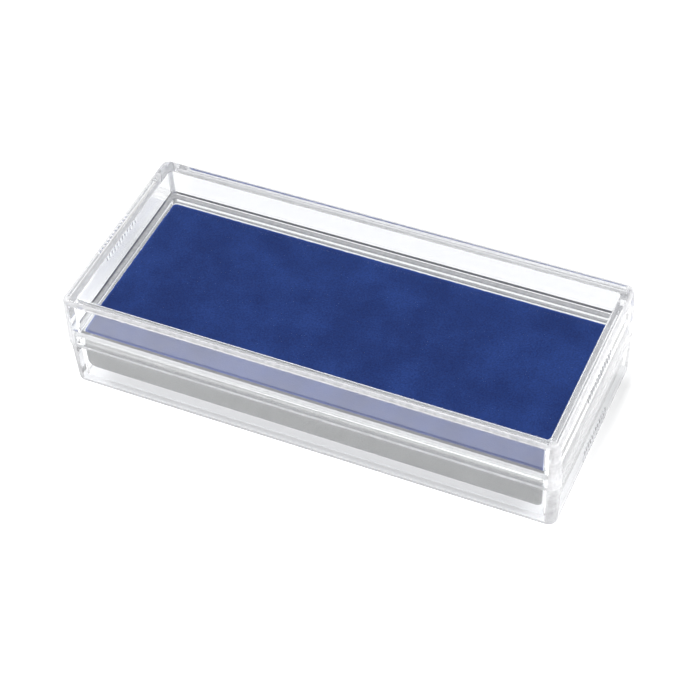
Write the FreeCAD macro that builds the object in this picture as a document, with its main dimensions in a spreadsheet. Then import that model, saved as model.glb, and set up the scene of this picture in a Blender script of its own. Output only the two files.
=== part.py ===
import FreeCAD, Part
import math
import os

import Sketcher

# Clear two-piece display tray for coins. A drafted base holds a foam block topped with a white card
# and a velvet facing, and a lift-off lid sits on the base's shoulder, located by a tongue that
# stands up inside its walls.
# Frame: origin at the middle of the underside, X along the length, Z up, millimetres.

DIMENSIONS = [
    # alias, value, meaning
    ("box_length", 130.0, "outside length at the lid's rim"),
    ("box_width", 57.0, "outside width at the lid's rim"),
    ("box_height", 28.6, "closed height"),
    ("seam_height", 13.9, "height of the shoulder that the lid's rim rests on"),
    ("rim_radius", 3.1, "plan radius of the lid's rim"),
    ("wall", 3.4, "wall thickness of the closed box at the shoulder"),
    ("inner_radius", 1.2, "plan radius inside the box"),
    ("lid_roof", 2.0, "lid roof thickness"),
    ("lid_draft", 0.6, "inset of the lid's outside over its height"),
    ("lid_inner_draft", 0.1, "inset of the lid's inside over its height"),
    ("lid_edge_radius", 1.2, "round along the lid's top edge"),
    ("lid_inner_radius", 0.3, "round inside the lid where walls meet roof"),
    ("skirt", 1.75, "thickness of the lid's skirt, which overlaps the tongue"),
    ("lap_height", 4.65, "height of the skirt, from the lid's rim to the step inside it"),
    ("lead_in", 0.6, "chamfer inside the skirt's mouth"),
    ("seat_gap", 0.05, "unevenness of the moulding between the lid's rim and the shoulder"),
    ("base_step", 0.35, "overhang of the lid's rim over the base"),
    ("base_draft", 0.5, "inset of the base's outside from shoulder to underside"),
    ("base_edge_radius", 0.8, "round along the underside"),
    ("base_floor", 2.0, "base floor thickness"),
    ("base_inner_radius", 0.15, "round inside the base where walls meet floor"),
    ("tongue_gap", 0.12, "clearance between skirt and tongue"),
    ("tongue_height", 3.0, "height of the tongue above the shoulder"),
    ("tongue_edge_radius", 0.45, "round along the tongue's top edges"),
    ("cavity_draft", 0.05, "inset of the base's inside from tongue top to floor"),
    ("pad_length", 122.0, "length of the foam block and what is glued on it"),
    ("pad_width", 48.9, "width of the foam block and what is glued on it"),
    ("pad_radius", 1.0, "plan radius of the pad's corners"),
    ("pad_shift", -0.25, "offset of the pad along the box"),
    ("pad_skew", -0.25, "angle that the pad lies out of square, degrees"),
    ("foam_height", 12.2, "foam block thickness"),
    ("card_thickness", 1.4, "thickness of the white card between foam and velvet"),
    ("velvet_thickness", 0.5, "thickness of the velvet facing"),
    ("end_margin", 0.1, "card left bare past each end of the velvet"),
    ("side_margin", 0.65, "card left bare along each long side of the velvet"),
    ("grip_radius", 0.45, "radius of one grip rib"),
    ("grip_pitch", 1.35, "distance from one grip rib to the next"),
    ("grip_count", 12, "grip ribs on each short end"),
    ("grip_height", 3.5, "height of one grip rib"),
    ("grip_margin", 2.0, "distance from a grip rib's end to the top or underside"),
    ("grip_sink", 0.2, "depth of a rib's axis under the drafted end wall at the rib's middle"),
]

TOLERANCE = 0.01  # how far an edge may lie from where it is looked for

# Heights and sizes that follow from the sheet, as expressions.
LID_FOOT = "(dims.seam_height + dims.seat_gap)"
LID_HEIGHT = f"(dims.box_height - {LID_FOOT})"
TONGUE_TOP = "(dims.seam_height + dims.tongue_height)"
TONGUE_INSET = "(dims.skirt + dims.tongue_gap)"


def make_sheet(doc):
    """The spreadsheet of driving dimensions, one alias to a row."""
    sheet = doc.addObject("Spreadsheet::Sheet", "dims")
    for row, (alias, value, meaning) in enumerate(DIMENSIONS, start=1):
        sheet.set(f"A{row}", meaning)
        sheet.set(f"B{row}", str(value))
        sheet.setAlias(f"B{row}", alias)
    doc.recompute()
    return sheet


def inset(size, amount):
    """Expression for a size drawn in by an amount on both sides."""
    return f"{size} - 2 * {amount}"


def origin_plane(body, role):
    """One of the body's own origin planes or axes, such as XY_Plane."""
    for feature in body.Origin.OriginFeatures:
        if feature.Role == role:
            return feature
    raise ValueError(role)


def new_body(doc, label, height):
    """A body whose own floor plane lies at the given height."""
    body = doc.addObject("PartDesign::Body", label)
    body.Label = label
    body.setExpression("Placement.Base.z", height)
    return body


def rounded_rectangle(body, name, height, length, width, radius):
    """Sketch of a centred rectangle with round corners, level at a height in the body."""
    sketch = body.newObject("Sketcher::SketchObject", name)
    sketch.AttachmentSupport = [(origin_plane(body, "XY_Plane"), "")]
    sketch.MapMode = "FlatFace"
    sketch.setExpression("AttachmentOffset.Base.z", height)
    # A rough outline first, which the constraints below pull to size.
    reach_x, reach_y, rough_radius = 47.0, 17.0, 3.0
    axis = FreeCAD.Vector(0, 0, 1)
    centres = [(reach_x, reach_y), (-reach_x, reach_y), (-reach_x, -reach_y), (reach_x, -reach_y)]
    arcs = []
    for quarter, (centre_x, centre_y) in enumerate(centres):
        circle = Part.Circle(FreeCAD.Vector(centre_x, centre_y, 0), axis, rough_radius)
        start = quarter * math.pi / 2
        arcs.append(sketch.addGeometry(Part.ArcOfCircle(circle, start, start + math.pi / 2), False))
    lines = []
    for quarter in range(4):
        start = sketch.getPoint(arcs[quarter], 2)
        end = sketch.getPoint(arcs[(quarter + 1) % 4], 1)
        lines.append(sketch.addGeometry(Part.LineSegment(start, end), False))
    for quarter in range(4):
        sketch.addConstraint(Sketcher.Constraint("Tangent", arcs[quarter], 2, lines[quarter], 1))
        following = arcs[(quarter + 1) % 4]
        sketch.addConstraint(Sketcher.Constraint("Tangent", lines[quarter], 2, following, 1))
    for quarter, direction in enumerate(["Horizontal", "Vertical", "Horizontal", "Vertical"]):
        sketch.addConstraint(Sketcher.Constraint(direction, lines[quarter]))
    for quarter in range(1, 4):
        sketch.addConstraint(Sketcher.Constraint("Equal", arcs[0], arcs[quarter]))
    sketch.addConstraint(Sketcher.Constraint("Symmetric", arcs[0], 3, arcs[2], 3, -1, 1))
    size_x = sketch.addConstraint(
        Sketcher.Constraint("DistanceX", lines[1], 1, lines[3], 1, 2 * reach_x + 2 * rough_radius))
    size_y = sketch.addConstraint(
        Sketcher.Constraint("DistanceY", lines[2], 1, lines[0], 1, 2 * reach_y + 2 * rough_radius))
    size_r = sketch.addConstraint(Sketcher.Constraint("Radius", arcs[0], rough_radius))
    sketch.setExpression(f"Constraints[{size_x}]", length)
    sketch.setExpression(f"Constraints[{size_y}]", width)
    sketch.setExpression(f"Constraints[{size_r}]", radius)
    return sketch


def extrude(body, kind, name, sketch, depth, taper, upward):
    """A Pad or a Pocket of a sketch, to a depth, with drafted walls, upward or downward."""
    feature = body.newObject(f"PartDesign::{kind}", name)
    feature.Profile = sketch
    feature.setExpression("Length", depth)
    feature.setExpression("TaperAngle", taper)
    feature.Reversed = upward if kind == "Pocket" else not upward
    body.Document.recompute()


def level_edges(shape, height):
    """Names of the edges that lie level at a height in the body."""
    names = []
    for number, edge in enumerate(shape.Edges, start=1):
        box = edge.BoundBox
        if abs(box.ZMin - height) < TOLERANCE and abs(box.ZMax - height) < TOLERANCE:
            names.append(f"Edge{number}")
    return names


def fillet(body, name, heights, radius):
    """Round the level edges of the body's last feature at some heights."""
    last = body.Tip
    # A feature's shape lies in its body's own frame, so heights are measured from the body's foot.
    names = []
    for height in heights:
        names += level_edges(last.Shape, height)
    feature = body.newObject("PartDesign::Fillet", name)
    feature.Base = (last, names)
    feature.setExpression("Radius", radius)
    body.Document.recompute()


def chamfer_mouth(body, half_length, half_width):
    """Bevel the inner edge of the skirt's foot, which encloses these half sizes."""
    last = body.Tip
    names = []
    for name in level_edges(last.Shape, 0.0):
        box = last.Shape.getElement(name).BoundBox
        inside_x = max(abs(box.XMin), abs(box.XMax)) < half_length + TOLERANCE
        inside_y = max(abs(box.YMin), abs(box.YMax)) < half_width + TOLERANCE
        if inside_x and inside_y:
            names.append(name)
    feature = body.newObject("PartDesign::Chamfer", "lid_lead_in")
    feature.Base = (last, names)
    feature.setExpression("Size", "dims.lead_in")
    body.Document.recompute()


def grip_ribs(body, low, middle_x):
    """A row of fine upright ribs at the middle of both short ends."""
    originals = []
    for side, sign in (("right", ""), ("left", "-")):
        rib = body.newObject("PartDesign::AdditiveCylinder", f"grip_rib_{side}")
        rib.setExpression("Radius", "dims.grip_radius")
        rib.setExpression("Height", "dims.grip_height")
        rib.AttachmentSupport = [(origin_plane(body, "XY_Plane"), "")]
        rib.MapMode = "FlatFace"
        rib.setExpression("AttachmentOffset.Base.x", f"{sign}({middle_x} - dims.grip_sink)")
        rib.setExpression("AttachmentOffset.Base.y", "-dims.grip_pitch * (dims.grip_count - 1) / 2")
        rib.setExpression("AttachmentOffset.Base.z", low)
        body.Document.recompute()
        originals.append(rib)
    pattern = body.newObject("PartDesign::LinearPattern", "grip_row")
    pattern.Originals = originals
    pattern.Direction = (origin_plane(body, "Y_Axis"), [""])
    pattern.setExpression("Length", "dims.grip_pitch * (dims.grip_count - 1)")
    pattern.setExpression("Occurrences", "dims.grip_count")
    body.Tip = pattern
    body.Document.recompute()


def make_lid(doc, sheet):
    """The lid: an open box turned over, with a thin skirt that overlaps the base's tongue."""
    body = new_body(doc, "lid", LID_FOOT)
    outline = rounded_rectangle(
        body, "lid_outline", "0", "dims.box_length", "dims.box_width", "dims.rim_radius")
    slope = f"atan(dims.lid_draft / {LID_HEIGHT})"
    extrude(body, "Pad", "lid_block", outline, LID_HEIGHT, f"-{slope}", upward=True)
    lid_height = sheet.box_height - sheet.seam_height - sheet.seat_gap
    fillet(body, "lid_top_round", [lid_height], "dims.lid_edge_radius")
    mouth = rounded_rectangle(
        body, "lid_mouth", "0", inset("dims.box_length", "dims.wall"),
        inset("dims.box_width", "dims.wall"), "dims.inner_radius")
    depth = f"({LID_HEIGHT} - dims.lid_roof)"
    slope = f"atan(dims.lid_inner_draft / {depth})"
    extrude(body, "Pocket", "lid_cavity", mouth, depth, f"-{slope}", upward=True)
    fillet(body, "lid_inner_round", [lid_height - sheet.lid_roof], "dims.lid_inner_radius")
    lap = rounded_rectangle(
        body, "lap_outline", "0", inset("dims.box_length", "dims.skirt"),
        inset("dims.box_width", "dims.skirt"), "dims.rim_radius - dims.skirt")
    extrude(body, "Pocket", "lid_lap", lap, "dims.lap_height", "0", upward=True)
    chamfer_mouth(body, sheet.box_length / 2 - sheet.skirt, sheet.box_width / 2 - sheet.skirt)
    rib_low = f"{LID_HEIGHT} - dims.grip_margin - dims.grip_height"
    rib_middle = f"({rib_low} + dims.grip_height / 2)"
    wall_x = f"(dims.box_length / 2 - dims.lid_draft * {rib_middle} / {LID_HEIGHT})"
    grip_ribs(body, rib_low, wall_x)
    return body


def make_base(doc, sheet):
    """The base tray: drafted walls, a shoulder for the lid and a tongue standing up inside it."""
    body = new_body(doc, "base_tray", "0")
    slope = "atan(dims.base_draft / dims.seam_height)"
    foot_inset = "(dims.base_step + dims.base_draft)"
    outline = rounded_rectangle(
        body, "base_outline", "0", inset("dims.box_length", foot_inset),
        inset("dims.box_width", foot_inset), f"dims.rim_radius - {foot_inset}")
    extrude(body, "Pad", "base_block", outline, "dims.seam_height", slope, upward=True)
    fillet(body, "base_foot_round", [0.0], "dims.base_edge_radius")
    tongue = rounded_rectangle(
        body, "tongue_outline", "dims.seam_height", inset("dims.box_length", TONGUE_INSET),
        inset("dims.box_width", TONGUE_INSET), f"dims.rim_radius - {TONGUE_INSET}")
    extrude(body, "Pad", "tongue_block", tongue, "dims.tongue_height", "0", upward=True)
    mouth = rounded_rectangle(
        body, "base_mouth", TONGUE_TOP, inset("dims.box_length", "dims.wall"),
        inset("dims.box_width", "dims.wall"), "dims.inner_radius")
    depth = f"({TONGUE_TOP} - dims.base_floor)"
    slope = f"atan(dims.cavity_draft / {depth})"
    extrude(body, "Pocket", "base_cavity", mouth, depth, f"-{slope}", upward=False)
    fillet(body, "base_inner_round", [sheet.base_floor], "dims.base_inner_radius")
    fillet(body, "tongue_top_round", [sheet.seam_height + sheet.tongue_height], "dims.tongue_edge_radius")
    rib_low = "dims.grip_margin"
    rib_middle = f"({rib_low} + dims.grip_height / 2)"
    wall_x = (f"(dims.box_length / 2 - dims.base_step - dims.base_draft"
              f" * (dims.seam_height - {rib_middle}) / dims.seam_height)")
    grip_ribs(body, rib_low, wall_x)
    return body


def make_slab(doc, label, height, thickness, end_margin="0", side_margin="0"):
    """A level slab with the pad's outline, less its margins: one layer of what lies in the base."""
    body = new_body(doc, label, height)
    body.setExpression("Placement.Base.x", "dims.pad_shift")
    body.setExpression("Placement.Rotation.Angle", "dims.pad_skew")
    outline = rounded_rectangle(
        body, f"{label}_outline", "0", inset("dims.pad_length", end_margin),
        inset("dims.pad_width", side_margin), "dims.pad_radius")
    extrude(body, "Pad", f"{label}_block", outline, thickness, "0", upward=True)
    return body


def check(doc, bodies):
    """Stop if any object failed to build or any sub-part is empty or invalid."""
    for item in doc.Objects:
        if "Invalid" in item.State or "Error" in item.State:
            raise RuntimeError(f"{item.Name} did not build: {item.State}")
    for body in bodies:
        if body.Shape.isNull() or not body.Shape.isValid() or len(body.Shape.Solids) != 1:
            raise RuntimeError(f"{body.Label} is not one valid solid")
        box = body.Shape.BoundBox
        print(f"{body.Label}: {body.Shape.Volume:.0f} mm3, x {box.XMin:.2f} {box.XMax:.2f},"
              f" y {box.YMin:.2f} {box.YMax:.2f}, z {box.ZMin:.2f} {box.ZMax:.2f}")


def main():
    doc = FreeCAD.newDocument("coin_display_tray")
    sheet = make_sheet(doc)
    foam_top = "dims.base_floor + dims.foam_height"
    card_top = f"{foam_top} + dims.card_thickness"
    bodies = [
        make_base(doc, sheet),
        make_lid(doc, sheet),
        make_slab(doc, "foam_block", "dims.base_floor", "dims.foam_height"),
        make_slab(doc, "backing_card", foam_top, "dims.card_thickness"),
        make_slab(
            doc, "velvet_facing", card_top, "dims.velvet_thickness",
            "dims.end_margin", "dims.side_margin"),
    ]
    doc.recompute()
    check(doc, bodies)
    os.makedirs("parts", exist_ok=True)
    for body in bodies:
        body.Shape.exportStep(f"parts/{body.Label}.step")


main()
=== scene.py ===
import math

import bmesh
import bpy
from mathutils import Matrix, Vector, noise


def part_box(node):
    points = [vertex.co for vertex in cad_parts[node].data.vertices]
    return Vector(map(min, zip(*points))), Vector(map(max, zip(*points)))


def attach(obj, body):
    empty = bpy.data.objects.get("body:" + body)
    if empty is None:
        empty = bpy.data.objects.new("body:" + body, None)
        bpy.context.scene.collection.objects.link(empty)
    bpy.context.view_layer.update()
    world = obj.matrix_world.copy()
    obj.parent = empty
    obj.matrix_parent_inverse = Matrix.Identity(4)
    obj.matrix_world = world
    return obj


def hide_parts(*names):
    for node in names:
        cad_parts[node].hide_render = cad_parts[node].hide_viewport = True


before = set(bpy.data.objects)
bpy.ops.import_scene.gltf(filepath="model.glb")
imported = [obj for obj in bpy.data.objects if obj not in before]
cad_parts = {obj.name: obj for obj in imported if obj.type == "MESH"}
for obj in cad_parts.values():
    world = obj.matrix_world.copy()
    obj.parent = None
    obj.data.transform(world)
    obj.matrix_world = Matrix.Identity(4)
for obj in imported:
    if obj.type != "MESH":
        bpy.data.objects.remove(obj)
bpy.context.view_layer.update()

# Looks of the clear coin display tray: moulded plastic on the CAD base and lid, and detailed meshes
# for the foam, the white card and the velvet that lie in it. Lengths are in metres.

MM = 0.001


# ---------------------------------------------------------------- camera

LOOK_AT = Vector((0.68, -1.47, 10.0)) * MM
DISTANCE = 489.1 * MM
AZIMUTH, ELEVATION, ROLL = 26.75, 47.10, -3.87
LENS = 101.2
NEAREST = 10 * MM   # nothing closer than this is drawn


def make_camera():
    """A camera at the viewing angle, held slightly rolled."""
    azimuth, elevation, roll = (math.radians(a) for a in (AZIMUTH, ELEVATION, ROLL))
    level = math.cos(elevation)
    back = Vector((math.sin(azimuth) * level, -math.cos(azimuth) * level, math.sin(elevation)))
    right = Vector((math.cos(azimuth), math.sin(azimuth), 0))
    up = back.cross(right)
    turned_right = right * math.cos(roll) + up * math.sin(roll)
    turned_up = up * math.cos(roll) - right * math.sin(roll)
    data = bpy.data.cameras.new("camera")
    data.lens = LENS
    data.clip_start = NEAREST
    camera = bpy.data.objects.new("camera", data)
    basis = Matrix((turned_right, turned_up, back)).transposed().to_4x4()
    camera.matrix_world = Matrix.Translation(LOOK_AT + back * DISTANCE) @ basis
    bpy.context.scene.collection.objects.link(camera)
    bpy.context.scene.camera = camera


# ---------------------------------------------------------------- node helpers

class Nodes:
    """A material's node tree, with short calls to add and link nodes."""

    def __init__(self, name):
        self.material = bpy.data.materials.new(name)
        self.material.use_nodes = True
        self.tree = self.material.node_tree
        self.surface = self.tree.nodes["Principled BSDF"]
        self.output = self.tree.nodes["Material Output"]
        self.place = self.tree.nodes.new("ShaderNodeTexCoord").outputs["Object"]

    def add(self, kind, **settings):
        node = self.tree.nodes.new(kind)
        for key, value in settings.items():
            setattr(node, key, value)
        return node

    def link(self, source, target):
        self.tree.links.new(source, target)

    def set(self, **values):
        """Set sockets of the Principled shader; a word like Base_Color names Base Color."""
        for key, value in values.items():
            self.surface.inputs[key.replace("_", " ")].default_value = value

    def noise(self, scale, detail, stretch=(1, 1, 1)):
        """Noise of about scale lumps to the metre, drawn out where stretch is under 1."""
        mapping = self.add("ShaderNodeMapping")
        mapping.inputs["Scale"].default_value = stretch
        self.link(self.place, mapping.inputs["Vector"])
        texture = self.add("ShaderNodeTexNoise")
        texture.inputs["Scale"].default_value = scale
        texture.inputs["Detail"].default_value = detail
        self.link(mapping.outputs["Vector"], texture.inputs["Vector"])
        return texture.outputs["Fac"]

    def cells(self, scale):
        """Distance to the middle of the nearest of scale cells to the metre."""
        texture = self.add("ShaderNodeTexVoronoi")
        texture.inputs["Scale"].default_value = scale
        self.link(self.place, texture.inputs["Vector"])
        return texture.outputs["Distance"]

    def ramp(self, source, stops):
        """Colours or grey values by a factor, as (position, value) stops."""
        ramp = self.add("ShaderNodeValToRGB")
        elements = ramp.color_ramp.elements
        for index, (position, value) in enumerate(stops):
            element = elements[index] if index < 2 else elements.new(position)
            element.position = position
            element.color = (*value, 1) if hasattr(value, "__len__") else (value, value, value, 1)
        self.link(source, ramp.inputs["Fac"])
        return ramp.outputs["Color"]

    def mix(self, factor, first, second, blend="MIX"):
        """Two colours mixed; a socket or a plain colour for each, and for the factor."""
        node = self.add("ShaderNodeMix", data_type="RGBA", blend_type=blend)
        sockets = (node.inputs[0], node.inputs[6], node.inputs[7])
        for socket, value in zip(sockets, (factor, first, second)):
            if isinstance(value, bpy.types.NodeSocket):
                self.link(value, socket)
            else:
                socket.default_value = (*value, 1) if hasattr(value, "__len__") else value
        return node.outputs[2]

    def math(self, operation, first, second=0.0):
        """One step of arithmetic on one or two sockets or numbers."""
        node = self.add("ShaderNodeMath", operation=operation)
        for socket, value in zip(node.inputs, (first, second)):
            if isinstance(value, bpy.types.NodeSocket):
                self.link(value, socket)
            else:
                socket.default_value = value
        return node.outputs[0]

    def rise(self, source, low, high):
        """0 at low, 1 at high and beyond, and a smooth climb between."""
        node = self.add("ShaderNodeMapRange", interpolation_type="SMOOTHSTEP")
        node.inputs["From Min"].default_value = low
        node.inputs["From Max"].default_value = high
        self.link(source, node.inputs["Value"])
        return node.outputs["Result"]

    def blend(self, factor, first, second):
        """Two shaders mixed by a factor."""
        node = self.add("ShaderNodeMixShader")
        for index, source in enumerate((factor, first, second)):
            self.link(source, node.inputs[index])
        return node.outputs[0]

    def bump(self, heights):
        """Bump from (height socket, strength, distance) layers."""
        normal = None
        for height, strength, distance in heights:
            node = self.add("ShaderNodeBump")
            node.inputs["Strength"].default_value = strength
            node.inputs["Distance"].default_value = distance
            self.link(height, node.inputs["Height"])
            if normal:
                self.link(normal, node.inputs["Normal"])
            normal = node.outputs["Normal"]
        self.link(normal, self.surface.inputs["Normal"])


# ---------------------------------------------------------------- materials

# Pale diffuse bands on the mouldings: partly wear, partly painted light that stands in for the
# bright and grey edge light clear plastic carries along its rims, corners and faces.
RIM_PALE_REACH = (1.9 * MM, 0.9 * MM)      # from the outside: where the pale band starts, and is full
CORNER_PALE_REACH = (3.2 * MM, 2.5 * MM)   # the same for the upright corners
CORNER_PALE_SHARE = 0.95                         # share of the pale band on the upright corners, against 1 along the rims
FACE_PALE_FADE = 0.05 * MM                 # the pale band on a level face dies out over this height
IOR_POLYSTYRENE = 1.59
UNDERSIDE_SCUFF = 0.9
TRAPPED_AFTER = 4.5                        # glossy bounces after which light is let out
FOAM_CELLS = 1900                          # cells to the metre
SHADED_HALF = (62 * MM, 25 * MM)           # half sizes of the patch that the shade runs out from


def wear_and_edge_light(m, node, rim, faces):
    """A 0 to 1 mask: on the outer rim, the upright corners and some level faces of a moulding,
    where pale diffuse is partly wear and partly painted edge light.

    rim is the height where the pale band starts, the height where it is full, and how full. Each
    face is its height, how far above and below that it reaches, and how pale it is.
    """
    _, (half_x, half_y, _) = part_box(node)
    parts = m.add("ShaderNodeSeparateXYZ")
    m.link(m.place, parts.inputs["Vector"])
    near_side = []
    near_corner = []
    for axis, reach in (("X", half_x), ("Y", half_y)):
        size = m.math("ABSOLUTE", parts.outputs[axis])
        starts, ends = RIM_PALE_REACH
        near_side.append(m.rise(size, reach - starts, reach - ends))
        starts, ends = CORNER_PALE_REACH
        near_corner.append(m.rise(size, reach - starts, reach - ends))
    start, full, amount = rim
    rim_height = m.math("MULTIPLY", m.rise(parts.outputs["Z"], start, full), amount)
    edge = m.math("MULTIPLY", m.math("MAXIMUM", *near_side), rim_height)
    corner = m.math("MULTIPLY", m.math("MINIMUM", *near_corner), CORNER_PALE_SHARE)
    whole = m.math("MAXIMUM", edge, corner)
    # Level faces get the same pale band: partly wear, partly painted light along the clear faces.
    for height, reach, paleness in faces:
        away = m.math("ABSOLUTE", m.math("SUBTRACT", parts.outputs["Z"], height))
        level = m.math("MULTIPLY", m.rise(away, reach + FACE_PALE_FADE, reach), paleness)
        whole = m.math("MAXIMUM", whole, level)
    patchy = m.ramp(m.noise(700, detail=4), [(0.3, 0.6), (0.7, 0.9)])
    return m.math("MULTIPLY", whole, patchy)


def clear_plastic(name, node, tone, rim, faces):
    """Water-clear moulded polystyrene: flow waves, haze, pale edges that are partly wear and partly
    painted edge light, and lamps shine through.

    tone is how pale those places are, and rim and faces are where they lie.
    """
    m = Nodes(name)
    m.set(Base_Color=(0.985, 0.99, 0.995, 1), IOR=IOR_POLYSTYRENE, Transmission_Weight=1.0)
    haze = m.noise(140, detail=5)
    m.link(m.ramp(haze, [(0.45, 0.0), (0.75, 0.018)]), m.surface.inputs["Roughness"])
    flow = m.noise(60, detail=1, stretch=(0.35, 1, 1))
    m.bump([(flow, 0.02, 0.0004)])
    # Pale diffuse grey on the masked places: partly wear, partly painted light for the edge light
    # of clear plastic.
    pale_diffuse = m.add("ShaderNodeBsdfDiffuse")
    pale_diffuse.inputs["Color"].default_value = (tone, tone, 1.02 * tone, 1)
    surface = m.blend(wear_and_edge_light(m, node, rim, faces), m.surface.outputs[0], pale_diffuse.outputs[0])
    # The base is scuffed where it stands, and there it glows with the paper under it.
    parts = m.add("ShaderNodeSeparateXYZ")
    m.link(m.place, parts.inputs["Vector"])
    scuffed = m.add("ShaderNodeBsdfTranslucent")
    scuffed.inputs["Color"].default_value = (0.8, 0.8, 0.82, 1)
    underside = m.math("MULTIPLY", m.rise(parts.outputs["Z"], 0.1 * MM, 0.05 * MM), UNDERSIDE_SCUFF)
    surface = m.blend(underside, surface, scuffed.outputs[0])
    # Lamps shine through, and light that rattles about between the faces gets out again.
    path = m.add("ShaderNodeLightPath")
    lamps = m.math("MAXIMUM", path.outputs["Is Shadow Ray"], path.outputs["Is Diffuse Ray"])
    trapped = m.math("GREATER_THAN", path.outputs["Glossy Depth"], TRAPPED_AFTER)
    passing = m.add("ShaderNodeBsdfTransparent")
    passing.inputs["Color"].default_value = (0.93, 0.935, 0.94, 1)
    mixed = m.blend(m.math("MAXIMUM", lamps, trapped), surface, passing.outputs[0])
    m.link(mixed, m.output.inputs["Surface"])
    return m.material


def velvet():
    """Royal blue flock: a short pile brushed in soft patches, lighter where the cut edge frays."""
    m = Nodes("velvet")
    m.set(Roughness=0.95, Sheen_Weight=0.25, Sheen_Roughness=0.4, Sheen_Tint=(0.35, 0.45, 0.9, 1))
    m.set(Specular_IOR_Level=0.15)
    dark, light, frayed = (0.008, 0.028, 0.145), (0.014, 0.043, 0.2), (0.03, 0.07, 0.3)
    patches = m.ramp(m.noise(90, detail=3), [(0.35, dark), (0.65, light)])
    fibres = m.ramp(m.noise(2600, detail=2), [(0.3, 0.72), (0.7, 1.28)])
    pile = m.mix(1.0, patches, fibres, blend="MULTIPLY")
    edge = m.add("ShaderNodeAttribute", attribute_name="edge")
    m.link(m.mix(edge.outputs["Fac"], pile, frayed), m.surface.inputs["Base Color"])
    m.bump([(m.noise(3200, detail=2), 0.5, 0.00012), (m.noise(420, detail=2), 0.25, 0.0002)])
    return m.material


def foam():
    """Grey fine-celled foam: painted shade in the middle of each cell, and paler cell walls as
    painted sparkle.
    """
    m = Nodes("foam")
    m.set(Roughness=0.9, Specular_IOR_Level=0.3)
    # Darker cell middles are painted shade in the open pores; the paler walls are painted sparkle.
    shaded_pore, wall = (0.08, 0.083, 0.087), (0.165, 0.169, 0.173)
    cells = m.ramp(m.cells(FOAM_CELLS), [(0.1, shaded_pore), (0.75, wall)])
    tone = m.ramp(m.noise(260, detail=3), [(0.3, 0.88), (0.7, 1.1)])
    m.link(m.mix(1.0, cells, tone, blend="MULTIPLY"), m.surface.inputs["Base Color"])
    m.bump([(m.cells(FOAM_CELLS), 0.3, 0.0002)])
    return m.material


def card():
    """White card with a soft fibrous surface."""
    m = Nodes("card")
    m.set(Roughness=0.85)
    fibres = m.noise(1500, detail=4, stretch=(1, 1, 6))
    m.link(m.ramp(fibres, [(0.3, (0.86, 0.86, 0.85)), (0.7, (0.95, 0.95, 0.94))]),
           m.surface.inputs["Base Color"])
    m.bump([(fibres, 0.2, 0.0001)])
    return m.material


def paper():
    """The bright white sweep: brightest in front and to the right, and shaded round the tray."""
    m = Nodes("paper")
    m.set(Base_Color=(0.8, 0.8, 0.8, 1), Roughness=0.9, Emission_Color=(1, 1, 1, 1))
    parts = m.add("ShaderNodeSeparateXYZ")
    m.link(m.place, parts.inputs["Vector"])
    front = m.rise(parts.outputs["Y"], 30 * MM, -30 * MM)
    right = m.rise(parts.outputs["X"], 64 * MM, 72 * MM)
    glow = m.ramp(m.math("MAXIMUM", front, right), [(0.0, 0.3), (1.0, 0.95)])
    # How far a point lies outside a patch under the tray, from -5 mm to 15 mm, as 0 to 1.
    outside = []
    for axis, reach in zip("XY", SHADED_HALF):
        size = m.math("ABSOLUTE", parts.outputs[axis])
        outside.append(m.math("SUBTRACT", size, reach))
    apart = m.math("MULTIPLY", m.math("MAXIMUM", *outside), 1 / (20 * MM))
    apart = m.math("ADD", apart, 0.25)
    shade = m.ramp(apart, [(0.1, 0.7), (0.35, 0.6), (0.42, 0.4), (0.65, 1.0)])
    m.link(m.math("MULTIPLY", glow, shade), m.surface.inputs["Emission Strength"])
    return m.material


def dress(piece, material):
    piece.data.materials.clear()
    piece.data.materials.append(material)


# ---------------------------------------------------------------- what lies in the tray

PAD_SKEW = math.radians(-0.25)   # the pad lies very slightly turned in the base
PAD_RADIUS = 1.0 * MM            # upright corners of the pad
STEP = 0.5 * MM                  # size of a mesh square
TOP_TURNS, BOTTOM_TURNS = 5, 10  # steps round the top and the bottom edge
VELVET_DRAWN_IN = 0.15 * MM      # the velvet's cut edge lies inside its CAD solid by this much


def pad_outline(node):
    """Half length, half width, middle, foot and top of a slab turned by the pad's skew."""
    low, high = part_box(node)
    span_x, span_y = high[0] - low[0], high[1] - low[1]
    cosine, sine = math.cos(PAD_SKEW), abs(math.sin(PAD_SKEW))
    length = (span_x * cosine - span_y * sine) / (cosine * cosine - sine * sine)
    width = (span_y * cosine - span_x * sine) / (cosine * cosine - sine * sine)
    middle = Vector(((low[0] + high[0]) / 2, (low[1] + high[1]) / 2, 0))
    return length / 2, width / 2, middle, low[2], high[2]


def corner_round(x, y, half_x, half_y, radius):
    """A point of the rectangle, drawn in where it is by a corner so that the corner is round."""
    core_x, core_y = half_x - radius, half_y - radius
    out_x, out_y = abs(x) - core_x, abs(y) - core_y
    if out_x > 0 and out_y > 0:
        reach = math.hypot(out_x, out_y)
        scale = max(out_x, out_y) / reach
        x = math.copysign(core_x + out_x * scale, x)
        y = math.copysign(core_y + out_y * scale, y)
    return x, y


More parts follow.
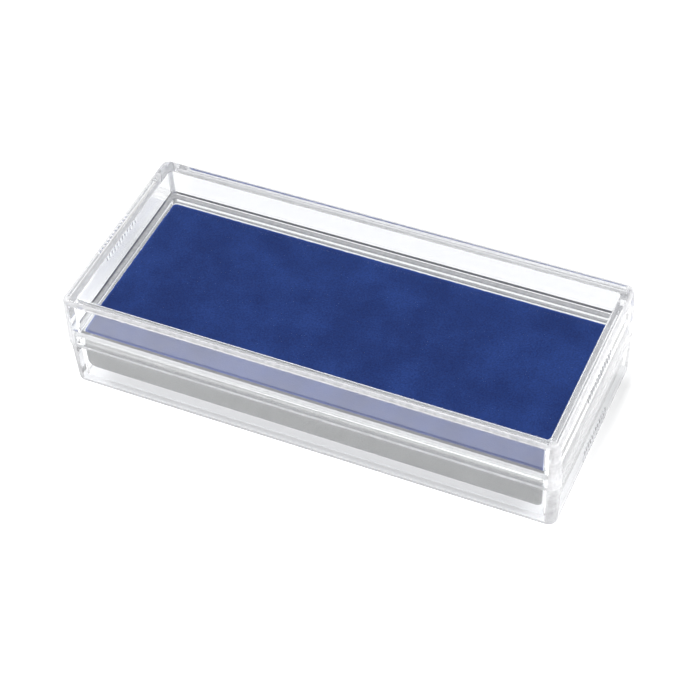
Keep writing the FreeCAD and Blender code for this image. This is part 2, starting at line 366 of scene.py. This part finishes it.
def laid_slab(name, node, side, drawn_in, wave, fray):
    """A slab with a finely divided top and sides, in the place of a CAD node.

    side lists (inset, share of the height) down its edge. The outline is drawn_in all round, the
    top waves by wave, and the edges are frayed by up to fray.
    """
    half_x, half_y, middle, low, high = pad_outline(node)
    half_x -= drawn_in
    half_y -= drawn_in
    turn = Matrix.Rotation(PAD_SKEW, 4, "Z")
    count_x, count_y = round(2 * half_x / STEP), round(2 * half_y / STEP)
    mesh = bpy.data.meshes.new(name)
    bm = bmesh.new()
    edge_layer = bm.verts.layers.float.new("edge")

    def place(x, y, z, edge):
        frayed = noise.noise(Vector((x, y, z)) * 900) * fray
        reach = math.hypot(x, y)
        x -= x / reach * abs(frayed) * edge if reach else 0
        y -= y / reach * abs(frayed) * edge if reach else 0
        vert = bm.verts.new(turn @ Vector((x, y, z)) + middle)
        vert[edge_layer] = edge
        return vert

    def layer(inset, z, wavy):
        """A full grid of vertices at an inset."""
        rows = []
        for j in range(count_y + 1):
            row = []
            for i in range(count_x + 1):
                x = (2 * i / count_x - 1) * (half_x - inset)
                y = (2 * j / count_y - 1) * (half_y - inset)
                x, y = corner_round(x, y, half_x - inset, half_y - inset, PAD_RADIUS)
                rim = i in (0, count_x) or j in (0, count_y)
                lift = noise.noise(Vector((x * 55, y * 55, 3))) * wavy
                row.append(place(x, y, z - wavy + lift, 1.0 if rim else 0.0))
            rows.append(row)
        return rows

    def border(rows):
        """The vertices round a grid, in the order of the outline."""
        loop = [rows[0][i] for i in range(count_x)]
        loop += [rows[j][count_x] for j in range(count_y)]
        loop += [rows[count_y][i] for i in range(count_x, 0, -1)]
        loop += [rows[j][0] for j in range(count_y, 0, -1)]
        return loop

    def fill(rows, flip):
        for j in range(count_y):
            for i in range(count_x):
                corners = [rows[j][i], rows[j][i + 1], rows[j + 1][i + 1], rows[j + 1][i]]
                bm.faces.new(corners[::-1] if flip else corners)

    def ring(inset, z):
        verts = []
        for x, y in outline:
            x *= (half_x - inset) / half_x
            y *= (half_y - inset) / half_y
            x, y = corner_round(x, y, half_x - inset, half_y - inset, PAD_RADIUS)
            verts.append(place(x, y, z, 1.0))
        return verts

    def join(upper, lower):
        for k in range(len(upper)):
            after = (k + 1) % len(upper)
            bm.faces.new([upper[k], lower[k], lower[after], upper[after]])

    outline = []
    for i in range(count_x):
        outline.append(((2 * i / count_x - 1) * half_x, -half_y))
    for j in range(count_y):
        outline.append((half_x, (2 * j / count_y - 1) * half_y))
    for i in range(count_x, 0, -1):
        outline.append(((2 * i / count_x - 1) * half_x, half_y))
    for j in range(count_y, 0, -1):
        outline.append((-half_x, (2 * j / count_y - 1) * half_y))

    top = layer(side[0][0], high - side[0][1] * (high - low), wave)
    fill(top, flip=False)
    upper = border(top)
    for inset, share in side[1:-1]:
        lower = ring(inset, high - share * (high - low))
        join(upper, lower)
        upper = lower
    bottom = layer(side[-1][0], low, 0.0)
    join(upper, border(bottom))
    fill(bottom, flip=True)
    bm.normal_update()
    bm.to_mesh(mesh)
    bm.free()
    for polygon in mesh.polygons:
        polygon.use_smooth = True
    piece = bpy.data.objects.new(name, mesh)
    bpy.context.scene.collection.objects.link(piece)
    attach(piece, "base")
    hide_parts(node)
    return piece


def rounded_side(radius_top, radius_bottom, height, straight):
    """Side points from a rounded top edge, down a straight face, to a rounded bottom edge."""
    points = []
    for k in range(TOP_TURNS):
        angle = math.pi / 2 * k / TOP_TURNS
        drop = radius_top * (1 - math.cos(angle))
        points.append((radius_top * (1 - math.sin(angle)), drop / height))
    first, last = radius_top / height, 1 - radius_bottom / height
    for k in range(straight + 1):
        points.append((0.0, first + (last - first) * k / straight))
    for k in range(1, BOTTOM_TURNS + 1):
        angle = math.pi / 2 * k / BOTTOM_TURNS
        drop = radius_bottom * math.sin(angle)
        points.append((radius_bottom * (1 - math.cos(angle)), last + drop / height))
    return points


def node_height(node):
    low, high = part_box(node)
    return high[2] - low[2]


def make_pad():
    """Foam, card and velvet, each in its CAD solid's place."""
    height = node_height("foam_block")
    block = laid_slab(
        "foam_pad", "foam_block", rounded_side(0.2 * MM, 4.5 * MM, height, 12),
        drawn_in=0.05 * MM, wave=0.0, fray=0.12 * MM)
    dress(block, foam())
    height = node_height("backing_card")
    sheet = laid_slab(
        "white_card", "backing_card", rounded_side(0.1 * MM, 0.1 * MM, height, 3),
        drawn_in=0.0, wave=0.0, fray=0.05 * MM)
    dress(sheet, card())
    height = node_height("velvet_facing")
    facing = laid_slab(
        "velvet_sheet", "velvet_facing", rounded_side(0.25 * MM, 0.05 * MM, height, 1),
        drawn_in=VELVET_DRAWN_IN, wave=0.04 * MM, fray=0.22 * MM)
    dress(facing, velvet())
    return facing


# ---------------------------------------------------------------- stage and light

FLOOR_SIZE = 3.0
FLOOR_DROP = 0.2 * MM            # the paper lies just under the tray
SWEEP = (1.3, 1.3, 1.3, 1)       # light from round the horizon and below
ROOM = (0.06, 0.06, 0.065, 1)    # light from overhead


def make_floor():
    bpy.ops.mesh.primitive_plane_add(size=FLOOR_SIZE, location=(0, 0, -FLOOR_DROP))
    floor = bpy.context.object
    floor.name = "floor"
    dress(floor, paper())


def softbox(name, azimuth, elevation, distance, size, radiance):
    """A square area light that faces the tray from a compass angle and a height angle."""
    azimuth, elevation = math.radians(azimuth), math.radians(elevation)
    level = math.cos(elevation)
    back = Vector((math.sin(azimuth) * level, -math.cos(azimuth) * level, math.sin(elevation)))
    data = bpy.data.lights.new(name, "AREA")
    data.size = size
    data.energy = radiance * math.pi * size * size
    light = bpy.data.objects.new(name, data)
    light.location = back * distance
    light.rotation_euler = back.to_track_quat("Z", "Y").to_euler()
    bpy.context.scene.collection.objects.link(light)


def make_world():
    """A dim room above a white sweep that rises a little way round the tray."""
    world = bpy.data.worlds.new("world")
    bpy.context.scene.world = world
    world.use_nodes = True
    tree = world.node_tree
    place = tree.nodes.new("ShaderNodeTexCoord")
    parts = tree.nodes.new("ShaderNodeSeparateXYZ")
    ramp = tree.nodes.new("ShaderNodeValToRGB")
    elements = ramp.color_ramp.elements
    elements[0].position = 0.15
    elements[0].color = SWEEP
    elements[1].position = 0.45
    elements[1].color = ROOM
    background = tree.nodes["Background"]
    tree.links.new(place.outputs["Generated"], parts.inputs["Vector"])
    tree.links.new(parts.outputs["Z"], ramp.inputs["Fac"])
    tree.links.new(ramp.outputs["Color"], background.inputs["Color"])


def make_lights():
    softbox("left", azimuth=-95, elevation=45, distance=0.9, size=0.5, radiance=7.0)
    softbox("right", azimuth=95, elevation=45, distance=0.9, size=0.5, radiance=7.0)
    softbox("top", azimuth=0, elevation=88, distance=0.8, size=0.4, radiance=3.0)


def set_up_view():
    scene = bpy.context.scene
    scene.view_settings.view_transform = "Standard"
    scene.cycles.max_bounces = 32
    scene.cycles.transmission_bounces = 32
    scene.cycles.glossy_bounces = 16
    scene.cycles.diffuse_bounces = 4
    scene.cycles.transparent_max_bounces = 32


LEDGE_ABOVE_TONGUE = 1.7 * MM   # from the tongue's top up to the ledge inside the lid
BASE_TONE, LID_TONE = 0.46, 0.66   # how pale the places of wear and painted edge light on each moulding are


def dress_mouldings():
    """Clear plastic on the CAD base and lid, pale where they stand, meet and are handled: partly
    wear, partly painted edge light.
    """
    tongue_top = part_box("base_tray")[1][2]
    lid_foot, lid_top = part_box("lid")[0][2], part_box("lid")[1][2]
    # The pale foot, tongue top, seam and ledge are partly wear, partly painted light along the
    # clear faces.
    seam = (lid_foot, 0.06 * MM, 0.8)
    base_plastic = clear_plastic(
        "clear_base", "base_tray", BASE_TONE, rim=(1.6 * MM, 0.9 * MM, 1.0),
        faces=[(tongue_top, 0.3 * MM, 0.9), seam])
    lid_plastic = clear_plastic(
        "clear_lid", "lid", LID_TONE, rim=(lid_top - 1.3 * MM, lid_top - 0.7 * MM, 1.0),
        faces=[(tongue_top + LEDGE_ABOVE_TONGUE, 0.05 * MM, 0.25), seam])
    dress(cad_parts["base_tray"], base_plastic)
    dress(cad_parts["lid"], lid_plastic)


make_camera()
make_world()
make_lights()
make_floor()
set_up_view()
dress_mouldings()
facing = make_pad()
